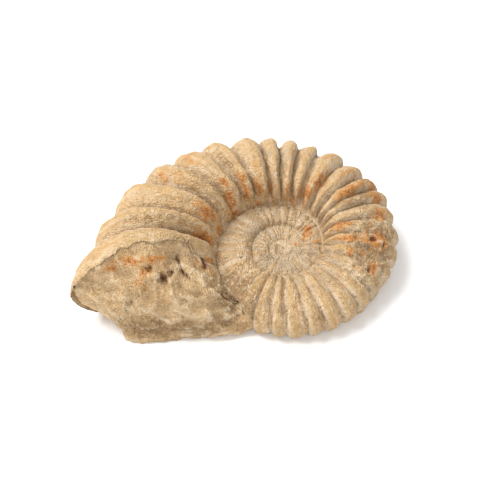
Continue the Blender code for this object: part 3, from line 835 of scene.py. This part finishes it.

# %% Places of grime and painted shade, and of pale stone and painted light
# the patches at -139 to -112 on the coil and near -16 across on the break, where the broken end meets
# the whorl inside it, are partly painted shade of that corner
COIL_GRIME_AND_SHADE = (
    (-125.0, 0.66, 4.6, 7.5, 1.0), (-112.0, 0.74, 3.2, 6.0, 0.9), (-139.0, 0.60, 3.0, 5.0, 0.9),
    (-656.0, 0.26, 0.9, 0.9, 0.9), (-90.0, 0.62, 3.0, 5.0, 0.4), (-70.0, 0.80, 4.0, 4.0, 0.4),
    (-8.0, 0.66, 9.0, 8.0, 0.9), (30.0, 0.55, 5.0, 9.0, 0.7), (203.5, 0.04, 2.0, 2.4, 0.9),
    (150.0, 0.45, 1.6, 12.0, 0.5), (183.0, 0.40, 1.6, 14.0, 0.5), (128.0, 0.40, 1.6, 9.0, 0.5),
)
BREAK_GRIME_AND_SHADE = (
    (-16.0, -15.0, 4.0, 7.0, 1.0), (-39.0, -23.5, 9.0, 3.8, 0.9), (-26.0, -23.5, 9.0, 2.6, 0.9),
    (-17.0, -21.5, 4.0, 2.0, 0.9), (-56.0, -11.0, 5.0, 2.0, 0.5), (-51.0, -10.2, 3.4, 1.8, 0.45),
)
BREAK_PALE = (
    (-54.1, -10.8, 0.6, 0.5, 1.0), (-36.2, -8.1, 0.8, 1.2, 1.0), (-44.4, -17.8, 1.6, 1.0, 1.0),
    (-28.7, -19.5, 2.4, 1.0, 0.9), (-38.1, -16.8, 1.4, 1.4, 0.8), (-19.7, -8.8, 1.2, 2.2, 0.8),
    (-32.3, -9.1, 1.0, 1.0, 0.8), (-34.0, -3.4, 1.6, 0.6, 0.7), (-46.0, -6.5, 3.0, 0.7, 0.5),
)
RIDGE_PALE = 1.2  # for each millimetre of a ridge's height
# painted light: a pale band along the break's upper rim, laid over the shade line at its edge
RIM_PAINTED_LIGHT = 0.9
RIM_REACH = 2.2  # degrees of the break beyond its edge that are pale


def patches(places, x, y, x_scale, y_scale):
    """The strongest of the patches at each point; the scales turn x and y into millimetres."""
    total = np.zeros_like(x)
    for middle_x, middle_y, reach_x, reach_y, strength in places:
        far = ((x - middle_x) * x_scale / reach_x) ** 2 + ((y - middle_y) * y_scale / reach_y) ** 2
        total = np.maximum(total, strength * np.exp(-far))
    return total


radius, inner = coil(angle)[:2]
round_coil = np.radians((radius + inner) / 2.0)
up_flank = (radius - inner) * FLANK_ARC
across, up = to_break(smooth_points)[:, :2].T


def on_stone(coil_places, break_places):
    """Patches on the upper flanks and on the break."""
    on_coil = patches(coil_places, angle, way, round_coil, up_flank) * (upper & on_flank)
    return np.maximum(on_coil, patches(break_places, across, up, 1.0, 1.0) * on_face)


rust = on_stone(COIL_RUST, BREAK_RUST)
grime = on_stone(COIL_GRIME_AND_SHADE, BREAK_GRIME_AND_SHADE)
ridge_height = -crack_depth(across, up, FINE_RIDGES)
pale = np.maximum(on_stone((), BREAK_PALE), ridge_height * RIDGE_PALE * on_face)
# the pale band of painted light along the break's upper rim
beyond_edge = (angle - BREAK_ANGLE) / RIM_REACH
pale = np.maximum(pale, on_break * upper * RIM_PAINTED_LIGHT * np.exp(-(beyond_edge**2)))
print("rust covers", round(100.0 * float((rust > 0.4).mean()), 1), "per cent of the points")

# %% [markdown]
# ## What each point tells the material
#
# The material needs to know where the grooves, the seams, the break, the holes and the highest
# grains are. Blender can store a number on every point of a mesh, an attribute, and a material
# can read it. That ties the colours to the shape without any unwrapping.

# %% The mesh and its attributes
SEAM_REACH = 0.09  # of the flank
# the grooves' brown, partly dirt and partly painted shade, fades out over CLEAN_EDGE degrees before the
# break
CLEAN_EDGE = 6.0  # degrees before the break, over which its edge has lost the dirt
# painted shade: holes and cracks are painted darker from these depths on
HOLE_SHADE = (0.45, 1.0)  # depth in millimetres at which a hole in the flank darkens and is dark
CRACK_SHADE = (0.9, 2.0)  # and one in the break
# the highest points of the fine relief are painted pale, partly wear and partly painted highlight, and
# the lowest brown, partly dirt and partly painted shade
FINEST_REACH = 0.4  # height in millimetres at which a fine ridge is fully rubbed


def seam_dirt():
    """1 along the seams between whorls, fading out over the flank above and below."""
    outer_end = np.where(angle < END_ANGLE - 360.0, 1.0 - seat_turn(angle + 360.0) / SEAM_TURN, 2.0)
    above = 1.0 - smooth(way / SEAM_REACH)
    below = 1.0 - smooth((outer_end - way) / SEAM_REACH)
    return np.maximum(above, below) * on_flank


def hollow_shade():
    """Painted shade: 1 where a hole or a crack is deep enough to be painted dark."""
    in_flank = ramp(holes(angle, way) * (upper & on_flank), HOLE_SHADE)
    in_break = ramp(crack_depth(across, up, CRACKS) * on_face, CRACK_SHADE)
    return np.maximum(in_flank, in_break)


mesh = bpy.data.meshes.new("ammonite_stone")
mesh.from_pydata(points.tolist(), [], faces.tolist())
mesh.polygons.foreach_set("use_smooth", np.ones(len(faces), bool))
marks = {
    "rib_number": ribs_passed,
    "groove": (1.0 - crest) * smooth((BREAK_ANGLE - angle) / CLEAN_EDGE),
    "flank": way,
    "rough": rough,
    "break_face": on_break,
    "rust": rust,
    "grime": grime,
    "pale": pale,
    "seam": seam_dirt(),
    "hollow": hollow_shade(),
    "finest": finest / FINEST_REACH,
}
for name, values in marks.items():
    mesh.attributes.new(name, "FLOAT", "POINT").data.foreach_set("value", values.astype(np.float32))
stone = put_in_scene("ammonite_stone", mesh)
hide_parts("ammonite")
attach(stone, "root")
print("each point carries", ", ".join(marks))

# %% [markdown]
# ## Writing shader maths as sums
#
# A material is a graph of nodes, and a long one is hard to read as node calls. This class holds
# one node output and answers to +, -, * and so on by adding the Math node that does it, so a
# mask can be written as it would be on paper. Colours are mixed with Mix nodes, because a Math
# node would turn them grey.

# %% A node output that can be used in a sum
class Wire:
    def __init__(self, socket):
        self.socket = socket
        self.tree = socket.id_data

    def node(self, kind, settings, sockets, output=0):
        """Adds a node of this kind to the material and returns one of its outputs."""
        return add_node(self.tree, kind, settings, sockets, output)

    def math(self, operation, first, second):
        return self.node("ShaderNodeMath", {"operation": operation}, {0: first, 1: second})

    def __add__(self, other):
        return self.math("ADD", self, other)

    __radd__ = __add__

    def __sub__(self, other):
        return self.math("SUBTRACT", self, other)

    def __rsub__(self, other):
        return self.math("SUBTRACT", other, self)

    def __mul__(self, other):
        return self.math("MULTIPLY", self, other)

    __rmul__ = __mul__

    def larger(self, other):
        return self.math("MAXIMUM", self, other)

    def fraction(self):
        return self.math("FRACT", self, 0.0)

    def step(self, start, end):
        """0 below start and 1 above end, with a smooth step between them."""
        sockets = {"Value": self, "From Min": start, "From Max": end}
        settings = {"interpolation_type": "SMOOTHSTEP"}
        return self.node("ShaderNodeMapRange", settings, sockets)


def add_node(tree, kind, settings, sockets, output=0):
    """Settings are set first, because they can change which sockets a node has."""
    made = tree.nodes.new(kind)
    for name, value in settings.items():
        setattr(made, name, value)
    for name, value in sockets.items():
        if isinstance(value, Wire):
            tree.links.new(value.socket, made.inputs[name])
        else:
            made.inputs[name].default_value = value
    return Wire(made.outputs[output])


print("a Wire has", sum(map(callable, vars(Wire).values())), "methods")

# %% [markdown]
# ## Limestone
#
# The stone is warm and pale. It is cream where it has been rubbed and handled, pale on the
# slopes beside the grooves, ochre on the crests, buff and tan on the break, and orange to
# red-brown where iron has stained it. Brown grime sits on it, partly painted shade where the
# broken end meets the whorl inside it, and the bottom of each groove is brown, partly dirt and
# partly painted shade. An ochre painted shade lies on the side of each rib turned away from the
# key lamp. The holes and cracks are painted red-brown, partly their own colour and partly
# painted shade, and the break's upper rim has a pale band of painted light. Fine dark grains and
# chalky flecks cover all of it; on the highest points of the fine relief the pale is partly a
# painted highlight, and in the lowest points the brown is partly painted shade. Every one of
# these is a colour and a mask, laid over the last like washes of paint. The masks come from the
# attributes, roughened by noise so that no edge is clean.

# %% Colours
CREAM = (0.66, 0.48, 0.29, 1.0)
PALE = (0.75, 0.60, 0.42, 1.0)
OCHRE = (0.55, 0.335, 0.135, 1.0)
BROWN = (0.24, 0.14, 0.06, 1.0)
GREY_BUFF = (0.58, 0.42, 0.23, 1.0)
ORANGE = (0.60, 0.25, 0.06, 1.0)
RUST = (0.30, 0.085, 0.02, 1.0)
RED_BROWN = (0.13, 0.035, 0.015, 1.0)
TAN = (0.60, 0.355, 0.155, 1.0)
GREY = (0.46, 0.40, 0.30, 1.0)
CHALK = (0.82, 0.66, 0.45, 1.0)
DARK_GREY = (0.20, 0.145, 0.09, 1.0)
MIX_FACTOR = 0
MIX_FIRST = 6
MIX_SECOND = 7
MIX_RESULT = 2


def laid_over(below, colour, mask):
    """The colour over what is below it, as far as the mask says."""
    sockets = {MIX_FACTOR: mask, MIX_FIRST: below, MIX_SECOND: colour}
    return add_node(tree, "ShaderNodeMix", {"data_type": "RGBA"}, sockets, MIX_RESULT)


def mark(name):
    """One of the numbers stored on the mesh's points."""
    return add_node(tree, "ShaderNodeAttribute", {"attribute_name": name}, {}, "Fac")


def spread(noise_value):
    """Blender's noise keeps near a half, so it is stretched to fill 0 to 1."""
    return (noise_value - 0.5) * NOISE_STRETCH + 0.5


def mottle(size_mm, detail=2.0, roughness=0.5):
    """Noise with spots of this size."""
    sockets = {"Vector": place, "Scale": 1.0 / (size_mm * MM), "Detail": detail, "Roughness": roughness}
    return spread(add_node(tree, "ShaderNodeTexNoise", {}, sockets))


NOISE_STRETCH = 2.2
STREAKS_TO_A_RIB = 2.6
STREAKS_UP_FLANK = 1.6
limestone = bpy.data.materials.new("limestone_worn")
limestone.use_nodes = True
tree = limestone.node_tree
tree.nodes.clear()
place = add_node(tree, "ShaderNodeTexCoord", {}, {}, "Object")
print("twelve colours from chalk to rust")

# %% Noises and marks
rib_number = mark("rib_number")
drawn_out = {"X": rib_number * STREAKS_TO_A_RIB, "Y": mark("flank") * STREAKS_UP_FLANK}
streak_place = add_node(tree, "ShaderNodeCombineXYZ", {}, drawn_out)
streak_sockets = {"Vector": streak_place, "Scale": 2.4, "Detail": 4.0, "Roughness": 0.6}
rib_streaks = spread(add_node(tree, "ShaderNodeTexNoise", {}, streak_sockets))
broad = mottle(16.0)
patchy = mottle(5.0, 3.0)
streaky = mottle(2.2, 3.0, 0.6)
grain = mottle(0.9, 2.0, 0.6)
fine = mottle(0.42, 1.0)
groove = mark("groove")
break_face = mark("break_face")
seam = mark("seam")
rough_patch = mark("rough")
rust_patch = mark("rust")
grime_and_shade_patch = mark("grime")
pale_and_rim_light_patch = mark("pale")
hollow = mark("hollow")
finest = mark("finest")
print("noises and marks:", len(tree.nodes), "nodes")

# %% Washes of colour
ragged = streaky - 0.5
ribbed = 1.0 - break_face
inner_whorl = (rib_number * -1.0).step(0.0, 8.0)
outer_whorl = 1.0 - inner_whorl
wash = (0.5 * broad + 0.5 * patchy).step(0.30, 0.70)
slopes = groove.step(0.10, 0.40) * (1.0 - groove.step(0.65, 0.95)) * streaky.step(-0.2, 0.6)
across_rib = rib_number.fraction()
late_side = across_rib.step(0.42, 0.68) * (1.0 - across_rib.step(0.84, 0.96))
# painted shade: ochre on the later side of each rib, the side turned away from the key lamp
late_side_shade = (late_side + ragged * 0.7 + (rib_streaks - 0.5) * 0.8).step(0.55, 1.1)
crest_stain = 0.85 - groove * 2.0 + (rib_streaks - 0.5) * 0.9 + ragged * 0.6
# brown at the bottom of each groove, partly dirt and partly painted shade
groove_dirt_and_shade = (groove + ragged * 0.45).step(0.66, 0.96)
greyed = patchy * 0.6 + broad * 0.5 + inner_whorl * 0.15 + ragged * 0.5
tan_patches = break_face * 0.5 + (patchy - 0.5) + (broad - 0.5) * 0.6 + ragged * 0.4
seam_crust = (seam + ragged * 0.7).step(0.35, 0.9)
rough_dirt = (rough_patch * 0.75 + ragged * 0.9).step(0.30, 0.85)
washes = [
    (OCHRE, wash * 0.45),
    (PALE, slopes * ribbed * 0.85),
    # painted shade on the side of each rib turned away from the key lamp
    (OCHRE, late_side_shade * ribbed * outer_whorl * 0.75),
    (OCHRE, crest_stain.step(0.45, 1.0) * ribbed * 0.85),
    # brown at the bottom of each groove, partly dirt and partly painted shade
    (BROWN, groove_dirt_and_shade * ribbed * 0.35),
    (BROWN, inner_whorl * (0.18 + 0.3 * streaky.step(0.35, 0.9))),
    (GREY, greyed.step(0.60, 1.0) * ribbed * 0.55),
    (GREY_BUFF, break_face.step(0.3, 0.8) * (0.35 + 0.5 * patchy)),
    (TAN, (tan_patches.step(0.45, 1.0) * 0.7).larger(0.35) * break_face),
    (CHALK, seam_crust * 0.3),
    (GREY_BUFF, rough_dirt * 0.6),
]
print(len(washes), "washes of colour")

# %% Stains, grains and holes
# grime, partly painted shade where the broken end meets the whorl inside it
grime_and_shade_edge = (grime_and_shade_patch + ragged * 0.6 + (grain - 0.5) * 0.3).step(0.15, 0.9)
rust_edge = (rust_patch + ragged * 0.85 + (grain - 0.5) * 0.15).step(0.25, 0.80)
rust_core = (rust_patch + ragged * 0.9 + (fine - 0.5) * 0.5).step(0.75, 1.25)
faint_rust = rib_streaks + ragged * 0.3 + (patchy - 0.5) * 0.5 + groove * 0.12
grainy = 0.2 + 0.5 * rough_patch + 0.4 * groove
# chalky flecks, and pale on the highest points of the fine relief, partly wear and partly painted
# highlight
pale_flecks_and_highlights = (0.5 * grain + 0.5 * fine).step(0.38, 0.20).larger(finest.step(0.25, 1.1) * 1.1)
# pale chips and ridges on the break, and the band of painted light along its upper rim
chips = (pale_and_rim_light_patch + ragged * 0.9 + (grain - 0.5) * 0.4).step(0.35, 0.9)
stains = [
    # grime, partly painted shade where the broken end meets the whorl inside it
    (BROWN, grime_and_shade_edge * 0.75),
    (ORANGE, rust_edge * 0.85),
    (RUST, rust_core * 0.8),
    (ORANGE, faint_rust.step(0.68, 1.0) * ribbed * 0.35),
    (DARK_GREY, (0.4 * grain + 0.6 * fine).step(0.60, 0.84) * grainy),
    # brown in the lowest points of the fine relief, partly dirt and partly painted shade
    (BROWN, (finest * -1.0).step(0.25, 1.3) * 0.25),
    # chalky flecks and chips, with painted highlight on the fine relief and painted light along the
    # break's rim
    (CHALK, (pale_flecks_and_highlights * 0.45).larger(chips * 0.55)),
    # red-brown in holes and cracks, partly their own colour and partly painted shade, darker the deeper
    # they go
    (RED_BROWN, hollow * 0.9),
]
colour = CREAM
for paint, mask in washes + stains:
    colour = laid_over(colour, paint, mask)
print(len(stains), "stains over them")

# %% Grain and roughness
BUMP_DEPTH = 0.0009
relief = 0.35 * streaky + 0.45 * grain + 0.6 * fine
bump_sockets = {"Strength": 0.9, "Distance": BUMP_DEPTH, "Height": relief}
finish = {
    "Base Color": colour,
    "Roughness": 0.82 + 0.14 * grain,
    "Specular IOR Level": 0.3,
    "Normal": add_node(tree, "ShaderNodeBump", {}, bump_sockets, "Normal"),
}
shader = add_node(tree, "ShaderNodeBsdfPrincipled", {}, finish, "BSDF")
output = tree.nodes.new("ShaderNodeOutputMaterial")
tree.links.new(shader.socket, output.inputs["Surface"])
mesh.materials.append(limestone)
print("the limestone has", len(tree.nodes), "nodes")

# %% [markdown]
# ## Floor and light
#
# The stone lies on a white table that runs out of sight. The light is soft and comes from the
# far left, high up, with a broad fill from the front, so the shadow is faint and falls to the
# right. The floor and the sky are almost white, as on a studio table.

# %% Floor
FLOOR_SIZE = 3.0
FLOOR_WHITE = (0.95, 0.95, 0.95, 1.0)
FLOOR_ROUGHNESS = 0.7
FLOOR_CORNERS = ((-1, -1), (1, -1), (1, 1), (-1, 1))
corners = [(x * FLOOR_SIZE / 2.0, y * FLOOR_SIZE / 2.0, 0.0) for x, y in FLOOR_CORNERS]
floor_mesh = bpy.data.meshes.new("floor")
floor_mesh.from_pydata(corners, [], [(0, 1, 2, 3)])
floor = put_in_scene("floor", floor_mesh)
white = bpy.data.materials.new("white_table")
white.use_nodes = True
table_top = white.node_tree.nodes["Principled BSDF"]
table_top.inputs["Base Color"].default_value = FLOOR_WHITE
table_top.inputs["Roughness"].default_value = FLOOR_ROUGHNESS
floor_mesh.materials.append(white)
print("the floor is", FLOOR_SIZE, "m across")

# %% Lamps and sky
LAMPS = {
    # place, watts and width of each lamp
    "key": ((-0.47, 0.12, 0.78), 10.8, 0.56),
    "fill": ((0.05, -0.80, 0.60), 2.9, 0.80),
}
SKY_STRENGTH = 0.68


def looking_at(eye, target):
    """A placing matrix at the eye, with its -Z towards the target."""
    back = (eye - target) / np.linalg.norm(eye - target)
    right = np.cross([0.0, 0.0, 1.0], back)
    right = right / np.linalg.norm(right)
    turn = np.column_stack([right, np.cross(back, right), back])
    return Matrix.LocRotScale(eye.tolist(), Matrix(turn.tolist()).to_quaternion(), None)


for name, (spot, watts, width) in LAMPS.items():
    lamp = bpy.data.lights.new(name, "AREA")
    lamp.energy = watts
    lamp.size = width
    put_in_scene(name, lamp).matrix_world = looking_at(np.array(spot), np.zeros(3))
sky = bpy.data.worlds.new("studio")
sky.use_nodes = True
background = sky.node_tree.nodes["Background"]
background.inputs["Color"].default_value = (1.0, 1.0, 1.0, 1.0)
background.inputs["Strength"].default_value = SKY_STRENGTH
bpy.context.scene.world = sky
bpy.context.scene.view_settings.view_transform = "Standard"
print("lamps:", ", ".join(LAMPS))

# %% [markdown]
# ## Camera
#
# The photograph is taken from the front, looking down on the flank at about half a right
# angle, from close enough for the near ribs to look larger. The camera aims at the coil's axis
# and its frame is shifted, because the coil isn't in the middle of the picture.

# %% Camera
LOOKING_DOWN = math.radians(46.87)
CAMERA_DISTANCE = 0.3093
LENS_MM = 70.9
SENSOR_MM = 36.0
SHIFT_ACROSS = -0.0666
SHIFT_UP = -0.0013

target = axis_place + np.array([0.0, 0.0, MIDDLE_HEIGHT * MM])
eye = target + CAMERA_DISTANCE * np.array([0.0, -math.cos(LOOKING_DOWN), math.sin(LOOKING_DOWN)])
camera = bpy.data.cameras.new("camera")
camera.sensor_width = SENSOR_MM
camera.lens = LENS_MM
camera.shift_x = SHIFT_ACROSS
camera.shift_y = SHIFT_UP
camera_object = put_in_scene("camera", camera)
camera_object.matrix_world = looking_at(eye, target)
bpy.context.scene.camera = camera_object
print("the camera is", round(float(eye[2]), 3), "m above the table")

# %% [markdown]
# ## The size
#
# The dressed stone has to stay inside the solid's box.
